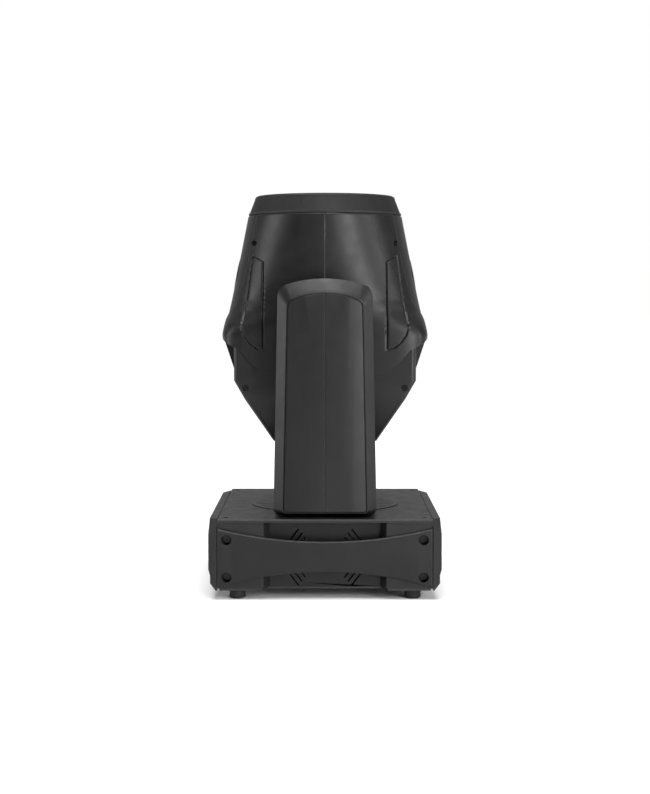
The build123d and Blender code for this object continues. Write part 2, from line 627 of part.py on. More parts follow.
def arm_panel():
    """Front half of the arm face, crowned both ways, drawn on the +X, -Y side."""
    low = Plane.YZ.offset(ARM_LEDGE_X) * arm_outline(RIM_SIDE + 0.4, RIM_TOP + 0.4, RIM_BOTTOM + 0.4)
    panel = extrude(low, ARM_FACE_X - ARM_LEDGE_X, dir=(1, 0, 0))
    across = crown_radius(ARM_HALF_WIDTH_BOTTOM - RIM_SIDE, ARM_CROWN_ACROSS)
    along = crown_radius((ARM_TOP_Z - YOKE_BOTTOM_Z) / 2, ARM_CROWN_ALONG)
    panel &= post(across, ARM_FACE_X - across, 0, (YOKE_BOTTOM_Z, ARM_TOP_Z))
    panel &= bar_y(along, ARM_FACE_X - along, (-BASE_HALF_Y, BASE_HALF_Y), (YOKE_BOTTOM_Z + ARM_TOP_Z) / 2)
    return panel - block((ARM_LEDGE_X, ARM_FACE_X), (0, BASE_HALF_Y), (YOKE_BOTTOM_Z, ARM_TOP_Z))


def arm_inner():
    """Inner arm shell with the trunnion opening, +X side."""
    shell = arm_slab(0, 0, 0, (ARM_INNER_X, ARM_SPLIT_X - GAP))
    shell -= arm_slab(SKIN, SKIN, SKIN, (ARM_INNER_X + SKIN, ARM_SPLIT_X))
    shell -= bar_x(TRUNNION_RADIUS + 6, (ARM_INNER_X, ARM_INNER_X + SKIN), 0, TILT_Z)
    inside_y = ARM_HALF_WIDTH_BOTTOM - 2 * SKIN
    window = (FRAME_FLOOR_Z, YOKE_BRIDGE_TOP_Z - SKIN)
    return shell - block((ARM_INNER_X, ARM_INNER_X + SKIN), (-inside_y, inside_y), window)


def tilt_bearings():
    """Flanged bearings in the two uprights."""
    bearing = bar_x(TILT_BEARING_RADIUS, (UPRIGHT_X[0] - 3, UPRIGHT_X[1] + 3), 0, TILT_Z)
    bearing += bar_x(TILT_BEARING_RADIUS + 4, (UPRIGHT_X[0] - 3, UPRIGHT_X[0]), 0, TILT_Z)
    bearing -= bar_x(TRUNNION_RADIUS + RUNNING_FIT, (UPRIGHT_X[0] - 3, UPRIGHT_X[1] + 3), 0, TILT_Z)
    return group([bearing, flip_x(bearing)])


def tilt_motor():
    """Flat stepper motor on the +X upright."""
    motor = block((ARM_INNER_X + 3, UPRIGHT_X[0]), (-21, 21), (TILT_MOTOR_Z - 21, TILT_MOTOR_Z + 21))
    motor = chamfer(motor.edges().filter_by(Axis.X), 4.0)
    motor += bar_x(11, (UPRIGHT_X[0], UPRIGHT_X[1] + 2), 0, TILT_MOTOR_Z)
    return motor - bar_x(2.5 + RUNNING_FIT, (ARM_INNER_X + 7, UPRIGHT_X[1] + 2), 0, TILT_MOTOR_Z)


def across(shape, z):
    """Turn a shape drawn in the XY plane so that its Z runs along X and its X runs down from z."""
    return Pos(TILT_BELT_X[0], 0, z) * Rot(0, 90, 0) * shape


def tilt_pinion():
    gear = across(toothed(PINION_RADIUS, 8.0, 20, 0.6), TILT_MOTOR_Z)
    return gear + bar_x(2.5, (ARM_INNER_X + 8, TILT_BELT_X[0]), 0, TILT_MOTOR_Z)


def tilt_belt():
    loop = belt(TILT_PULLEY_RADIUS, PINION_RADIUS, TILT_Z - TILT_MOTOR_Z, 6.0, 1.5)
    return Pos(1, 0, 0) * across(loop, TILT_Z)


# ---------------------------------------------------------------- head
SIDE_PLATE_X = (86.0, 89.0)
SIDE_PLATE_FOOT_Z = 240.0
SIDE_PLATE_HALF_Y = 62.0
LOWER_BULKHEAD_Z = (262.0, 265.0)
MIDDLE_BULKHEAD_Z = (328.0, 331.0)
UPPER_BULKHEAD_Z = (434.0, 441.0)
SIDE_PLATE_NARROW = ((62.0, 360.0), (40.0, 400.0), (36.0, UPPER_BULKHEAD_Z[1]))    # half width in Y, Z


def trunnions():
    """Hollow pivots from the head chassis through both arms."""
    pin = bar_x(TRUNNION_RADIUS, (SIDE_PLATE_X[1], TILT_BELT_X[1] + 2), 0, TILT_Z)
    pin += bar_x(TRUNNION_RADIUS + 11, (SIDE_PLATE_X[1], SIDE_PLATE_X[1] + 3), 0, TILT_Z)
    pin -= bar_x(TRUNNION_RADIUS - 5, (SIDE_PLATE_X[1], TILT_BELT_X[1] + 2), 0, TILT_Z)
    return group([pin, flip_x(pin)])


def tilt_pulley():
    wheel = across(toothed(TILT_PULLEY_RADIUS, 8.0, 80, 0.6), TILT_Z)
    return wheel - bar_x(TRUNNION_RADIUS, TILT_BELT_X, 0, TILT_Z)


def head_chassis():
    """Two side plates, three bulkheads, the wheel pins and the focus guide rods."""
    half = [(SIDE_PLATE_HALF_Y, SIDE_PLATE_FOOT_Z)] + list(SIDE_PLATE_NARROW)
    outline = half + [(-y, z) for y, z in reversed(half)]
    chassis = Part()
    for sx in (-1, 1):
        xs = sorted(sx * v for v in SIDE_PLATE_X)
        chassis += side(outline, xs) - bar_x(TRUNNION_RADIUS - 5, xs, 0, TILT_Z)
    span = (-SIDE_PLATE_X[0], SIDE_PLATE_X[0])
    chassis += block(span, (-100, 100), LOWER_BULKHEAD_Z) - post(OPTICAL_HOLE_RADIUS, 0, 0, LOWER_BULKHEAD_Z)
    chassis += block(span, (-62, 62), MIDDLE_BULKHEAD_Z) - post(36, 0, 0, MIDDLE_BULKHEAD_Z)
    upper = Pos(0, 0, UPPER_BULKHEAD_Z[0]) * extrude(RectangleRounded(172, 196, 78), 7)
    chassis += upper - post(70, 0, 0, UPPER_BULKHEAD_Z)
    for y, top in ((WHEEL_OFFSET, COLOUR_WHEEL_Z + 4), (-WHEEL_OFFSET, GOBO_WHEEL_Z + 4)):
        chassis += post(WHEEL_PIN_RADIUS, 0, y, (LOWER_BULKHEAD_Z[1], top))
    chassis += post(WHEEL_PIN_RADIUS, *PRISM_PIVOT, (LOWER_BULKHEAD_Z[1], PRISM_Z + 6))
    for sx in (-1, 1):
        chassis += post(ROD_RADIUS, sx * ROD_X, ROD_Y, (MIDDLE_BULKHEAD_Z[1], UPPER_BULKHEAD_Z[0]))
        for sy in (-1, 1):
            lug_y = sorted((sy * (HOUSING_SCREW[0] - 6), sy * (HOUSING_SCREW[0] + 3)))
            lug_x = sorted((sx * 76, sx * (HOUSING_SECTIONS[0][2] - PLATE)))
            chassis += block(lug_x, lug_y, (HOUSING_SCREW[1] - 4, LOWER_BULKHEAD_Z[1]))
            bore = sorted((sx * 70, sx * 95))
            chassis -= bar_x(HEAD_FASTENER[2], bore, sy * HOUSING_SCREW[0], HOUSING_SCREW[1])
            bore = sorted((sx * (COVER_BOSS_X - COVER_FASTENER[3]), sx * COVER_BOSS_X))
            chassis -= bar_x(COVER_FASTENER[2], bore, sy * COVER_SCREW[0], COVER_SCREW[1])
    return chassis


def head_screws():
    """Four screws of the covers and four of the rear housing."""
    parts = []
    for sx in (-1, 1):
        for sy in (-1, 1):
            turn = Rot(0, sx * 90, 0)
            x = HOUSING_SECTIONS[0][2] - PLATE
            parts.append(Pos(sx * x, sy * HOUSING_SCREW[0], HOUSING_SCREW[1]) * turn * fastener(*HEAD_FASTENER))
            place = Pos(sx * COVER_BOSS_X, sy * COVER_SCREW[0], COVER_SCREW[1])
            parts.append(place * turn * fastener(*COVER_FASTENER))
    return group(parts)


def light_wheel(y, z, hole_radius):
    """Thin wheel with nine apertures on a ring that crosses the light path."""
    disc = post(WHEEL_RADIUS, 0, y, (z, z + 2)) + post(8, 0, y, (z - 2, z + 4))
    for n in range(9):
        angle = 2 * pi * n / 9 + (pi / 2 if y < 0 else -pi / 2)
        disc -= post(hole_radius, WHEEL_OFFSET * cos(angle), y + WHEEL_OFFSET * sin(angle), (z, z + 2))
    return disc - post(WHEEL_PIN_RADIUS + RUNNING_FIT, 0, y, (z - 2, z + 4))


def prism_arm():
    """Swinging arm with a faceted prism in a ring, parked beside the light path."""
    x, y = PRISM_PIVOT
    ring = post(24, 0, 0, (PRISM_Z, PRISM_Z + 5)) - post(20, 0, 0, (PRISM_Z, PRISM_Z + 5))
    arm = block((22, x), (-5, 5), (PRISM_Z, PRISM_Z + 5)) + post(9, x, y, (PRISM_Z - 1, PRISM_Z + 6))
    glass = post(20, 0, 0, (PRISM_Z + 1, PRISM_Z + 3))
    arm = ring + arm + glass
    arm -= post(WHEEL_PIN_RADIUS + RUNNING_FIT, x, y, (PRISM_Z - 1, PRISM_Z + 6))
    return Pos(x, y, 0) * Rot(0, 0, PRISM_PARK_ANGLE) * Pos(-x, -y, 0) * arm


def focus_carriage():
    """Lens carriage that slides on the two guide rods."""
    plate = block((-74, 74), (ROD_Y - 10, ROD_Y + 10), (FOCUS_Z - 6, FOCUS_Z + 6))
    plate += post(44, 0, 0, (FOCUS_Z - 6, FOCUS_Z + 6))
    plate -= post(38, 0, 0, (FOCUS_Z - 6, FOCUS_Z + 6))
    plate += post(38, 0, 0, (FOCUS_Z - 3, FOCUS_Z + 4))
    for sx in (-1, 1):
        plate -= post(ROD_RADIUS + RUNNING_FIT, sx * ROD_X, ROD_Y, (FOCUS_Z - 6, FOCUS_Z + 6))
    return plate


def led_module():
    """Light source board with its lens collar."""
    module = block((-32, 32), (-32, 32), (250, 254)) + post(22, 0, 0, (254, 261))
    return module + post(17, 0, 0, (261, 270))


def heat_sink():
    """Finned block under the light source."""
    sink = block((-60, 60), (-60, 60), (240, 250))
    for n in range(13):
        x = -60 + 9.75 * n
        sink += block((x, x + 3), (-60, 60), (216, 240))
    for sx in (-1, 1):
        sink += block(sorted((sx * 60, sx * SIDE_PLATE_X[0])), (-20, 20), (244, 250))
    return sink


def fan_rotor():
    """Seven-bladed cooling fan on its hub."""
    rotor = post(17, 0, 0, (196, 209))
    for n in range(7):
        blade = Pos(34, 0, 203) * Rot(35, 0, 0) * Box(38, 18, 1.6)
        rotor += Rot(0, 0, 360 * n / 7) * blade
    return rotor - post(3 + RUNNING_FIT, 0, 0, (196, 206))


def fan_frame():
    """Square duct round the fan."""
    frame = block((-58, 58), (-58, 58), (HEAD_BOTTOM_Z + 4, HEAD_BOTTOM_Z + 24))
    frame = chamfer(frame.edges().filter_by(Axis.Z), 5.0)
    return frame - post(55, 0, 0, (HEAD_BOTTOM_Z + 4, HEAD_BOTTOM_Z + 24))


def rear_grille():
    """Slotted end plate of the head, with the fan hub pin."""
    plate = Pos(0, 0, HEAD_BOTTOM_Z + 0.5) * extrude(RectangleRounded(122, 121, 11), 3.5)
    for n in range(9):
        y = -50 + 12.5 * n
        for sx in (-1, 1):
            plate -= block(sorted((sx * 14, sx * 54)), (y - 3.5, y + 3.5), (HEAD_BOTTOM_Z, HEAD_BOTTOM_Z + 5))
    plate += post(12, 0, 0, (HEAD_BOTTOM_Z + 4, HEAD_BOTTOM_Z + 9))
    return plate + post(3, 0, 0, (HEAD_BOTTOM_Z + 9, HEAD_BOTTOM_Z + 18))


WEDGE_OUTLINE = [(114.3, 303.2), (128.8, 315.0), (114.3, 271.0)]
WEDGE_HALF_X = 46.0


def rear_housing():
    """Faceted cup round the back of the head, open above and at the grille."""
    cup = sections_loft(HOUSING_SECTIONS, 0, True)
    cup -= sections_loft(HOUSING_SECTIONS, PLATE, True)
    wedge = side(WEDGE_OUTLINE, (-WEDGE_HALF_X, WEDGE_HALF_X))
    cup += [wedge, flip_y(wedge)]
    mouth_y, mouth_x = HOUSING_SECTIONS[-1][1:3]
    hole = RectangleRounded(2 * (mouth_x - PLATE), 2 * (mouth_y - PLATE), 12)
    cup -= Pos(0, 0, HEAD_BOTTOM_Z) * extrude(hole, 4)
    for sx in (-1, 1):
        wall = sorted((sx * 80, sx * 100))
        cup -= bar_x(TRUNNION_RADIUS + 12, wall, 0, TILT_Z)
        cup -= [bar_x(HOUSING_HOLE_RADIUS, wall, sy * HOUSING_SCREW[0], HOUSING_SCREW[1]) for sy in (-1, 1)]
    return cup


def cover_keep():
    """Region above the lower edge of the covers, as a prism along X."""
    half = list(COVER_EDGE)
    points = [(-y, z) for y, z in half] + [(0, COVER_EDGE_MIDDLE_Z)] + [(y, z) for y, z in reversed(half)]
    points += [(140, 480), (-140, 480)]
    return side(points, (-120, 120))


def head_cover():
    """Rear half of the head shell, drawn on the +Y side."""
    outer = sections_loft(COVER_SECTIONS, 0, False) + sections_loft(COLLAR_SECTIONS, 0, True)
    inner = sections_loft(COVER_SECTIONS, PLATE, False) + sections_loft(COLLAR_SECTIONS, PLATE, True)
    shell = (outer - inner) & cover_keep()
    shell -= block((-120, 120), (-140, 0.3), (200, 480))
    for sx in (-1, 1):
        shell -= bar_x(3.4, sorted((sx * 40, sx * 100)), *COVER_SCREW)
        shell -= bar_x(TRUNNION_RADIUS + 12, sorted((sx * 80, sx * 100)), 0, TILT_Z)
    return shell - badge_place() * Cylinder(BADGE_RADIUS, 30)


def badge_place():
    """Frame on the rear cover with Z along the outward normal."""
    return Pos(0, BADGE_Y, BADGE_Z) * Rot(BADGE_LEAN - 90, 0, 0)


def side_blades():
    """Four raised trim blades on the shoulders of the covers."""
    skin = sections_loft(COVER_SECTIONS, -BLADE_RISE, False) + sections_loft(COLLAR_SECTIONS, -BLADE_RISE, True)
    skin -= sections_loft(COVER_SECTIONS, 0, False) + sections_loft(COLLAR_SECTIONS, 0, True)
    blade = skin & side(BLADE_OUTLINE, (20, 120))
    return group([blade, flip_x(blade), flip_y(blade), flip_x(flip_y(blade))])


def bezel():
    """Round rim that holds the front lens."""
    height = HEAD_TOP_Z - BEZEL_BOTTOM_Z
    ring = Pos(0, 0, BEZEL_BOTTOM_Z + height / 2) * Cone(BEZEL_RADIUS, BEZEL_TOP_RADIUS, height)
    ring = fillet(ring.edges().group_by(Axis.Z)[-1], 1.6)
    ring -= post(LENS_RADIUS - 3, 0, 0, (BEZEL_BOTTOM_Z, HEAD_TOP_Z))
    return ring - post(LENS_RADIUS, 0, 0, (BEZEL_BOTTOM_Z, HEAD_TOP_Z - 8))


def front_lens():
    """Shallow dome lens behind the rim."""
    flat = post(LENS_RADIUS, 0, 0, (HEAD_TOP_Z - 14, HEAD_TOP_Z - 8))
    sphere_radius = 420.0
    reach = LENS_RADIUS - 3.2
    crown = HEAD_TOP_Z - 8 + sphere_radius - sqrt(sphere_radius ** 2 - reach ** 2)
    dome = Pos(0, 0, crown - sphere_radius) * Sphere(sphere_radius)
    keep = post(reach, 0, 0, (HEAD_TOP_Z - 8, HEAD_TOP_Z))
    return flat + (dome & keep)


def vent_badges():
    """Round caps with a dished middle, flush in the front and rear covers."""
    cap = Pos(0, 0, -4.2) * Cylinder(BADGE_RADIUS - 0.3, 8.4)
    cap = chamfer(cap.edges().group_by(Axis.Z)[-1], 0.6)
    cap -= Pos(0, 0, 0.5) * Cylinder(BADGE_RADIUS - 4, 3.0)
    cap += Pos(0, 0, -7.0) * Cylinder(BADGE_RADIUS + 2, 2.0)
    cap = badge_place() * cap
    return group([cap, flip_y(cap)])


NODES = {}


def add(name, shape):
    NODES[name] = shape


def build_all():
    add("base_tray", base_tray())
    add("rubber_feet", rubber_feet())
    add("side_panel_right", side_panel())
    add("side_panel_left", flip_x(side_panel()))
    add("handle_right", handle())
    add("handle_left", flip_x(handle()))
    add("base_screws", base_screws())
    add("base_top", base_top())
    add("pan_disc", pan_disc())
    add("panel_front", panel_front())
    add("display_window", display_window())
    for number, x in enumerate(BUTTON_X, 1):
        add(f"menu_button_{number}", menu_button(x))
    add("panel_rear", panel_rear())
    add("power_sockets", power_sockets())
    add("signal_sockets", signal_sockets())
    add("power_switch", power_switch())
    add("bearing_plate", bearing_plate())
    add("pan_bearing", pan_bearing())
    add("power_supply", power_supply())
    add("main_board", main_board())
    add("pan_motor", pan_motor())
    add("pan_pinion", pan_pinion())
    add("pan_belt", pan_belt())
    add("pan_hub", group([pan_shaft(), pan_pulley()]))
    add("yoke_frame", yoke_frame())
    add("yoke_cover", yoke_cover())
    add("arm_shell_right", arm_shell())
    add("arm_shell_left", flip_x(arm_shell()))
    add("arm_inner_right", arm_inner())
    add("arm_inner_left", flip_x(arm_inner()))
    add("arm_panel_right_front", arm_panel())
    add("arm_panel_right_rear", flip_y(arm_panel()))
    add("arm_panel_left_front", flip_x(arm_panel()))
    add("arm_panel_left_rear", flip_x(flip_y(arm_panel())))
    add("tilt_bearings", tilt_bearings())
    add("tilt_motor", tilt_motor())
    add("tilt_pinion", tilt_pinion())
    add("tilt_belt", tilt_belt())
    add("trunnions", trunnions())
    add("tilt_pulley", tilt_pulley())
    add("head_chassis", head_chassis())
    add("colour_wheel", light_wheel(WHEEL_OFFSET, COLOUR_WHEEL_Z, 12.0))
    add("gobo_wheel", light_wheel(-WHEEL_OFFSET, GOBO_WHEEL_Z, 10.0))
    add("prism_arm", prism_arm())
    add("focus_carriage", focus_carriage())
    add("led_module", led_module())
    add("heat_sink", heat_sink())
    add("fan_rotor", fan_rotor())
    add("rear_grille", group([rear_grille(), fan_frame()]))
    add("rear_housing", rear_housing())
    add("head_cover_rear", head_cover())
    add("head_cover_front", flip_y(head_cover()))
    add("side_blades", side_blades())
    add("head_screws", head_screws())
    add("bezel", bezel())
    add("front_lens", front_lens())
    add("vent_badges", vent_badges())


os.makedirs("parts", exist_ok=True)
build_all()
for name, shape in NODES.items():
    export_step(shape, f"parts/{name}.step")
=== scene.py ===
import math

import bpy
import numpy as np
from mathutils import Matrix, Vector


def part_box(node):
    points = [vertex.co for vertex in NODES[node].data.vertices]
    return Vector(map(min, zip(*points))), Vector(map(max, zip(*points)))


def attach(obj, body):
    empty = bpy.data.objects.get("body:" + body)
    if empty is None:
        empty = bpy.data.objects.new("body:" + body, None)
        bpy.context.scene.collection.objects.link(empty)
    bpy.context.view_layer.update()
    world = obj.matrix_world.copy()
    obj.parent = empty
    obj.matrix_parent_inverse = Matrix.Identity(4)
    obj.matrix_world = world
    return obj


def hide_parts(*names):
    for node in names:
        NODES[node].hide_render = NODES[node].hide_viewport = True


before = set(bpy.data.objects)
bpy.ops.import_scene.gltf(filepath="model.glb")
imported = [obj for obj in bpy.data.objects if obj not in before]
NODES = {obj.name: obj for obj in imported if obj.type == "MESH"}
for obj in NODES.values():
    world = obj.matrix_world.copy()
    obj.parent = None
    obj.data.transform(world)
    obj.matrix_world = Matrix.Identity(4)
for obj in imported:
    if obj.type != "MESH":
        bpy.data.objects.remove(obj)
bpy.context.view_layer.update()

MM = 0.001
# the part of a noise's range that holds most of its values
NOISE_LOW = 0.3
NOISE_HIGH = 0.7


# ------------------------------------------------------------------ materials
def new_material(name):
    material = bpy.data.materials.new(name)
    material.use_nodes = True
    tree = material.node_tree
    return material, tree.nodes, tree.links, tree.nodes["Principled BSDF"]


def object_noise(nodes, links, scale, detail, stretch=(1, 1, 1)):
    """Noise in the object's own metres."""
    where = nodes.new("ShaderNodeTexCoord")
    mapping = nodes.new("ShaderNodeMapping")
    mapping.inputs["Scale"].default_value = stretch
    noise = nodes.new("ShaderNodeTexNoise")
    noise.inputs["Scale"].default_value = scale
    noise.inputs["Detail"].default_value = detail
    links.new(where.outputs["Object"], mapping.inputs["Vector"])
    links.new(mapping.outputs["Vector"], noise.inputs["Vector"])
    return noise


def spread(nodes, links, source, low, high, from_low=NOISE_LOW, from_high=NOISE_HIGH):
    """A value mapped to the range from low to high."""
    node = nodes.new("ShaderNodeMapRange")
    node.inputs["From Min"].default_value = from_low
    node.inputs["From Max"].default_value = from_high
    node.inputs["To Min"].default_value = low
    node.inputs["To Max"].default_value = high
    links.new(source, node.inputs["Value"])
    return node.outputs["Result"]


def two_shades(nodes, links, factor, dark, light):
    """Colour between dark and light, by a noise value."""
    ramp = nodes.new("ShaderNodeValToRGB")
    ramp.color_ramp.elements[0].position = NOISE_LOW
    ramp.color_ramp.elements[0].color = (*dark, 1)
    ramp.color_ramp.elements[1].position = NOISE_HIGH
    ramp.color_ramp.elements[1].color = (*light, 1)
    links.new(factor, ramp.inputs["Fac"])
    return ramp.outputs["Color"]


def add_bump(nodes, links, shader, noise, strength, depth):
    """Lets a noise roughen the surface, by a depth in metres."""
    bump = nodes.new("ShaderNodeBump")
    bump.inputs["Strength"].default_value = strength
    bump.inputs["Distance"].default_value = depth
    links.new(noise.outputs["Fac"], bump.inputs["Height"])
    links.new(bump.outputs["Normal"], shader.inputs["Normal"])


# mesh pointiness at which an edge starts to turn pale, as a painted edge highlight and rubbed wear, and at
# which it is fully pale
HIGHLIGHT_AND_WEAR_START = 0.53
HIGHLIGHT_AND_WEAR_FULL = 0.60
HIGHLIGHT_AND_WEAR_SHARE = 0.5
PLASTIC_SPECULAR = 0.24


def moulded(name, dark, light, rough, grain_scale=1400.0, grain_depth=0.00012, stretch=(1, 1, 1)):
    """Moulded plastic: cloudy tone, uneven gloss, spark-eroded grain, and pale edges painted as an edge
    highlight and as rubbed wear.
    """
    material, nodes, links, shader = new_material(name)
    cloud = object_noise(nodes, links, 18.0, 4.0)
    tone = two_shades(nodes, links, cloud.outputs["Fac"], dark, light)
    # pale sharp edges: a painted edge highlight that also stands for rubbed wear
    geometry = nodes.new("ShaderNodeNewGeometry")
    edge_highlight_and_wear = spread(nodes, links, geometry.outputs["Pointiness"], 0.0, HIGHLIGHT_AND_WEAR_SHARE, HIGHLIGHT_AND_WEAR_START, HIGHLIGHT_AND_WEAR_FULL)
    edge = nodes.new("ShaderNodeMix")
    edge.data_type = "RGBA"
    edge.inputs["B"].default_value = tuple(min(1.0, 2.2 * c + 0.01) for c in light) + (1,)
    links.new(edge_highlight_and_wear, edge.inputs["Factor"])
    links.new(tone, edge.inputs["A"])
    links.new(edge.outputs["Result"], shader.inputs["Base Color"])
    smear = object_noise(nodes, links, 60.0, 3.0, stretch)
    gloss = spread(nodes, links, smear.outputs["Fac"], rough - 0.04, rough + 0.05)
    links.new(gloss, shader.inputs["Roughness"])
    grain = object_noise(nodes, links, grain_scale, 2.0, stretch)
    add_bump(nodes, links, shader, grain, 0.6, grain_depth)
    shader.inputs["Specular IOR Level"].default_value = PLASTIC_SPECULAR
    return material


def metal(name, dark, light, rough, stretch=(1, 1, 1), metallic=1.0, specular=0.5):
    """Bare, painted or blackened metal with a fine brushed or cast grain."""
    material, nodes, links, shader = new_material(name)
    shader.inputs["Metallic"].default_value = metallic
    shader.inputs["Specular IOR Level"].default_value = specular
    brush = object_noise(nodes, links, 90.0, 5.0, stretch)
    links.new(two_shades(nodes, links, brush.outputs["Fac"], dark, light), shader.inputs["Base Color"])
    gloss = spread(nodes, links, brush.outputs["Fac"], rough - 0.06, rough + 0.08)
    links.new(gloss, shader.inputs["Roughness"])
    fine = object_noise(nodes, links, 900.0, 2.0, stretch)
    add_bump(nodes, links, shader, fine, 0.4, 0.00006)
    return material


GLASS_IOR = 1.52


def optical_glass(name, tint):
    """Coated lens glass with faint dust."""
    material, nodes, links, shader = new_material(name)
    shader.inputs["Transmission Weight"].default_value = 1.0
    shader.inputs["IOR"].default_value = GLASS_IOR
    shader.inputs["Base Color"].default_value = (*tint, 1)
    dust = object_noise(nodes, links, 120.0, 6.0)
    links.new(spread(nodes, links, dust.outputs["Fac"], 0.01, 0.07, 0.5, 0.8), shader.inputs["Roughness"])
    return material


def screen_glass():
    """Dark menu screen, switched off: faint level bands and smudged glass."""
    material, nodes, links, shader = new_material("menu_screen")
    where = nodes.new("ShaderNodeTexCoord")
    wave = nodes.new("ShaderNodeTexWave")
    wave.bands_direction = "Z"
    wave.inputs["Scale"].default_value = 26.0
    wave.inputs["Distortion"].default_value = 0.4
    links.new(where.outputs["Object"], wave.inputs["Vector"])
    tone = two_shades(nodes, links, wave.outputs["Fac"], (0.004, 0.006, 0.010), (0.010, 0.016, 0.026))
    links.new(tone, shader.inputs["Base Color"])
    smudge = object_noise(nodes, links, 70.0, 4.0)
    links.new(spread(nodes, links, smudge.outputs["Fac"], 0.05, 0.16), shader.inputs["Roughness"])
    return material


def wheel_filters():
    """Coated wheel whose colour drifts between red, green and blue."""
    material, nodes, links, shader = new_material("wheel_filters")
    shader.inputs["Metallic"].default_value = 0.8
    drift = object_noise(nodes, links, 30.0, 1.0)
    ramp = nodes.new("ShaderNodeValToRGB")
    elements = ramp.color_ramp.elements
    elements[0].position = 0.35
    elements[0].color = (0.35, 0.06, 0.05, 1)
    elements[1].position = 0.65
    elements[1].color = (0.05, 0.12, 0.40, 1)
    middle = elements.new(0.5)
    middle.color = (0.10, 0.35, 0.12, 1)
    links.new(drift.outputs["Fac"], ramp.inputs["Fac"])
    links.new(ramp.outputs["Color"], shader.inputs["Base Color"])
    links.new(spread(nodes, links, drift.outputs["Fac"], 0.15, 0.3), shader.inputs["Roughness"])
    return material


SHELL = moulded("shell_plastic", (0.0045, 0.0045, 0.0047), (0.0065, 0.0065, 0.0067), 0.38)
BASE = moulded("base_plastic", (0.0055, 0.0055, 0.0057), (0.0080, 0.0080, 0.0082), 0.42, 1100.0, 0.00016)
RIM = moulded(
    "rim_plastic", (0.003, 0.003, 0.0031), (0.0045, 0.0045, 0.0046), 0.62, 900.0, 0.00022, (1, 1, 0.35),
)
RUBBER = moulded("foot_rubber", (0.008, 0.008, 0.008), (0.013, 0.013, 0.013), 0.7, 700.0, 0.0002)
BUTTON = moulded("button_plastic", (0.05, 0.05, 0.052), (0.07, 0.07, 0.073), 0.4)
SOCKET_BLUE = moulded("socket_plastic", (0.01, 0.02, 0.06), (0.016, 0.03, 0.08), 0.35)
SOCKET_BLACK = moulded("socket_black", (0.010, 0.010, 0.010), (0.016, 0.016, 0.016), 0.3)
SWITCH = moulded("switch_plastic", (0.006, 0.006, 0.006), (0.01, 0.01, 0.01), 0.22)
CIRCUIT = moulded("circuit_board", (0.006, 0.03, 0.012), (0.01, 0.05, 0.02), 0.35, 500.0)
BELT = moulded("belt_rubber", (0.01, 0.01, 0.01), (0.018, 0.018, 0.018), 0.65, 600.0)
PAINTED = metal("painted_steel", (0.016, 0.016, 0.017), (0.026, 0.026, 0.027), 0.45, metallic=0.3)
# black screws, with their colour darkened further as painted shade for the deep recesses they sit in
SCREW_DARKENED_AS_SHADE = metal("black_screw_painted_shade", (0.001, 0.001, 0.001), (0.003, 0.003, 0.003), 0.2, metallic=0.0, specular=0.2)
BRIGHT = metal("bright_steel", (0.45, 0.45, 0.46), (0.6, 0.6, 0.61), 0.22, (1, 1, 6))
ALUMINIUM = metal("aluminium", (0.5, 0.51, 0.52), (0.66, 0.67, 0.68), 0.34, (6, 1, 1))
LAMP = metal("light_source", (0.6, 0.5, 0.2), (0.8, 0.72, 0.4), 0.35, metallic=0.2)
GLASS = optical_glass("lens_glass", (0.93, 0.96, 1.0))
SCREEN = screen_glass()
FILTERS = wheel_filters()


# ------------------------------------------------------------------ mesh helpers
def paint(obj, material):
    obj.data.materials.clear()
    obj.data.materials.append(material)


SHARP_DEGREES = 32.0


def smooth_shade(mesh, sharp_degrees):
    mesh.polygons.foreach_set("use_smooth", [True] * len(mesh.polygons))
    mesh.set_sharp_from_angle(angle=math.radians(sharp_degrees))


def finish_mesh(name, verts, faces, material, sharp_degrees=SHARP_DEGREES):
    """New object from points in metres."""
    mesh = bpy.data.meshes.new(name)
    mesh.from_pydata([tuple(map(float, v)) for v in verts], [], faces)
    mesh.validate()
    mesh.update()
    smooth_shade(mesh, sharp_degrees)
    obj = bpy.data.objects.new(name, mesh)
    bpy.context.scene.collection.objects.link(obj)
    mesh.materials.append(material)
    return obj


def bake_modifiers(obj):
    """Replaces the mesh by its modified form."""
    bpy.context.view_layer.update()
    graph = bpy.context.evaluated_depsgraph_get()
    mesh = bpy.data.meshes.new_from_object(obj.evaluated_get(graph))
    obj.modifiers.clear()
    obj.data = mesh
    smooth_shade(mesh, SHARP_DEGREES)


def grid_faces(rows, columns):
    """Quads between the points of a grid that is stored row by row."""
    faces = []
    for r in range(rows - 1):
        for c in range(columns - 1):
            here = r * columns + c
            above = here + columns
            faces.append((here, here + 1, above + 1, above))
    return faces


def lathe(name, profile, segments, material):
    """Closed ring from (radius, height) points turned about the Z axis."""
    verts = []
    for radius, height in profile:
        for n in range(segments):
            turn = 2 * math.pi * n / segments
            verts.append((radius * math.cos(turn), radius * math.sin(turn), height))
    faces = []
    count = len(profile)
    for r in range(count):
        s = (r + 1) % count
        for n in range(segments):
            m = (n + 1) % segments
            faces.append((r * segments + n, r * segments + m, s * segments + m, s * segments + n))
    return finish_mesh(name, verts, faces, material)


# flat and gently crowned pieces, whose thin triangles are merged before the edges are bevelled
NEARLY_FLAT = {"base_top", "side_panel_right", "side_panel_left", "handle_right", "handle_left"}
NEARLY_FLAT |= {"panel_front", "panel_rear", "rear_housing"}
NEARLY_FLAT |= {f"arm_panel_{side}_{end}" for side in ("right", "left") for end in ("front", "rear")}
MERGE_DEGREES = 0.5
WELD_DISTANCE = 0.01 * MM
EDGE_SEGMENTS = 2
EDGE_DEGREES = 28.0
NORMAL_WEIGHT = 60


